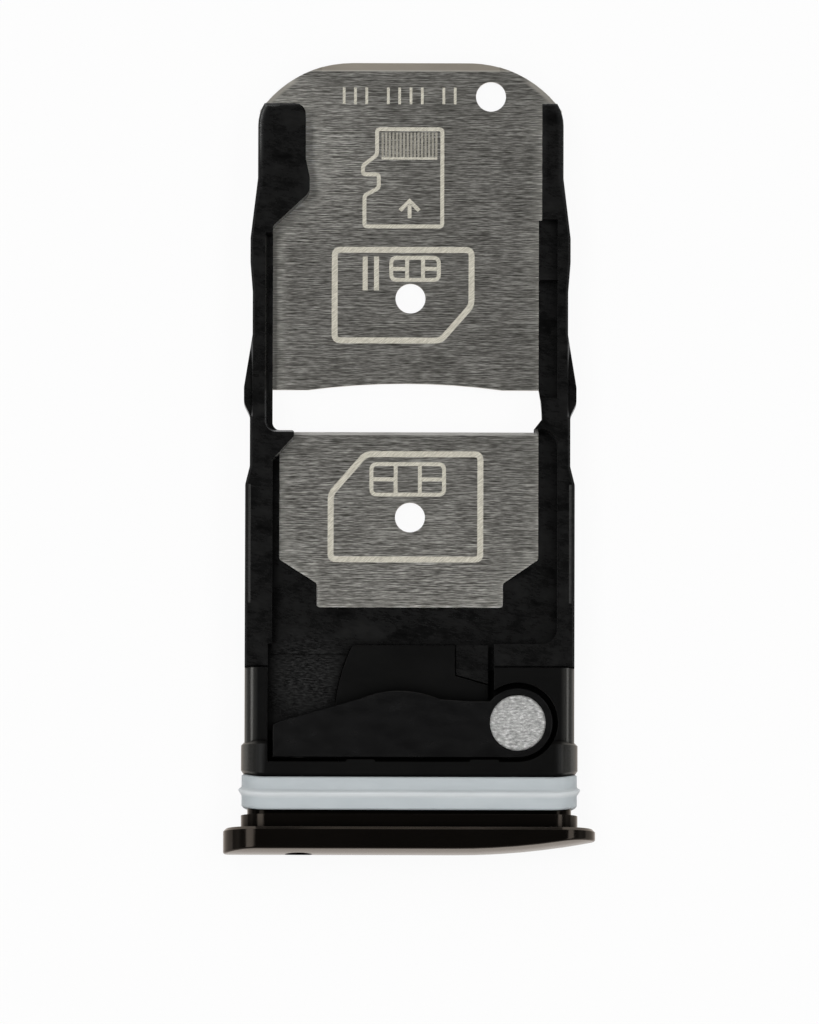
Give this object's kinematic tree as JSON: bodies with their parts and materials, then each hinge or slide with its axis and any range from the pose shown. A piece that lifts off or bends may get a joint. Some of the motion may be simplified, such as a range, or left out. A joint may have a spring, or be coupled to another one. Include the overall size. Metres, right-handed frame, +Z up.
{
  "type": "sim card tray",
  "caption": "Flat phone card tray with a crowned metal cap, silicone seal, moulded card bays on a steel floor and a riveted eject lever.",
  "frame": {"origin": "bottom centre of the tray's box, with the cap's lower edge at the bottom", "axes": "X across the tray, +Y from the cap to the tip, +Z up on the side that the cards are laid in"},
  "size_m": [0.0164, 0.0352, 0.0029],
  "materials": {
    "anodised_cap": "dark brown anodised, satin front, glossy sides",
    "silicone": "pale grey silicone, satin",
    "moulded_frame": "black moulded plastic with fine flow marks",
    "brushed_floor": "fine brushed across the tray",
    "lever_black": "smooth black plastic",
    "rivet_metal": "bare mottled metal"
  },
  "bodies": {
    "tray": {"front_cap": "anodised_cap", "seal_ring": "silicone", "card_frame": "moulded_frame", "floor_plate": "brushed_floor", "pivot_rivet": "rivet_metal"},
    "lever": {"eject_lever": "lever_black"}
  },
  "joints": [
    {"name": "lever_pivot", "type": "hinge", "parent": "tray", "child": "lever", "pos_m": [0.00477, -0.01179, 0.0017], "axis": [0, 0, -1], "range_deg": [0, 10]}
  ]
}
